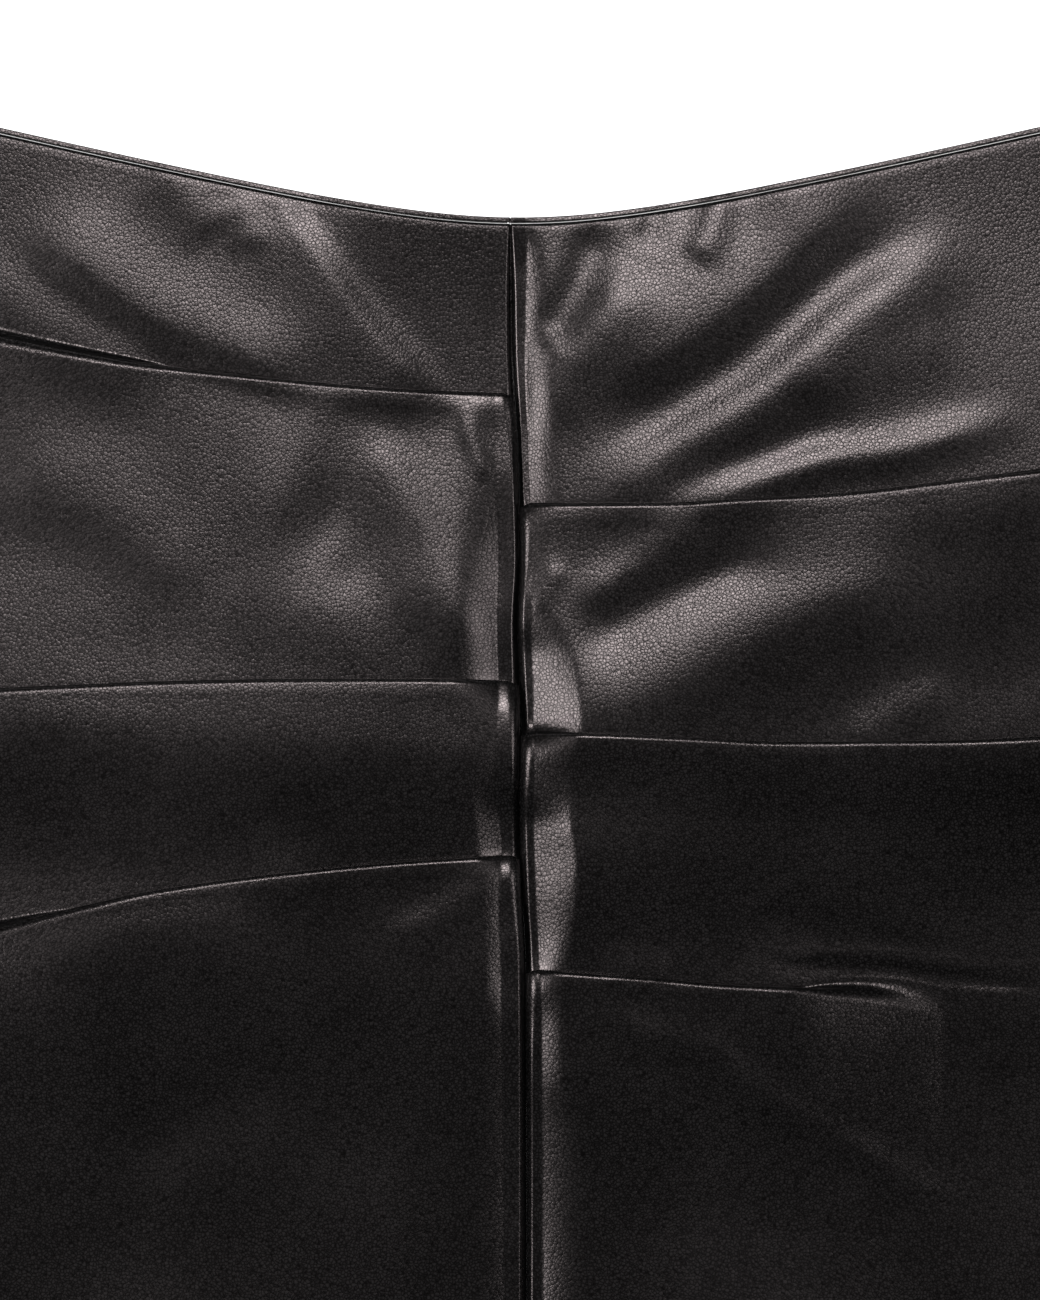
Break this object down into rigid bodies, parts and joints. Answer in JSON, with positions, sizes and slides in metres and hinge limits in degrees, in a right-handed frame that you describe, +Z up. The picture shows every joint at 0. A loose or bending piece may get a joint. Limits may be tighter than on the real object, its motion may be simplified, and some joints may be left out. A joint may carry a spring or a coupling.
{
  "type": "leather midi skirt",
  "caption": "Black leather midi skirt with a centre-front seam, staggered tucks on both sides of it and a dipped waist, laid flat with its front up.",
  "frame": {"origin": "on the surface the skirt lies on, under the middle of its box", "axes": "+X across the skirt, to the right as seen from above; +Y up the skirt, from the hem to the waist; +Z up from the surface, out of the skirt's front"},
  "size_m": [0.4818, 0.7685, 0.0124],
  "materials": {
    "leather": "satin"
  },
  "bodies": {
    "root": {"front_left": "leather", "front_right": "leather", "back_left": "leather", "back_right": "leather", "waist_roll_front_left": "leather", "waist_roll_front_right": "leather", "waist_roll_back_left": "leather", "waist_roll_back_right": "leather"}
  },
  "joints": []
}
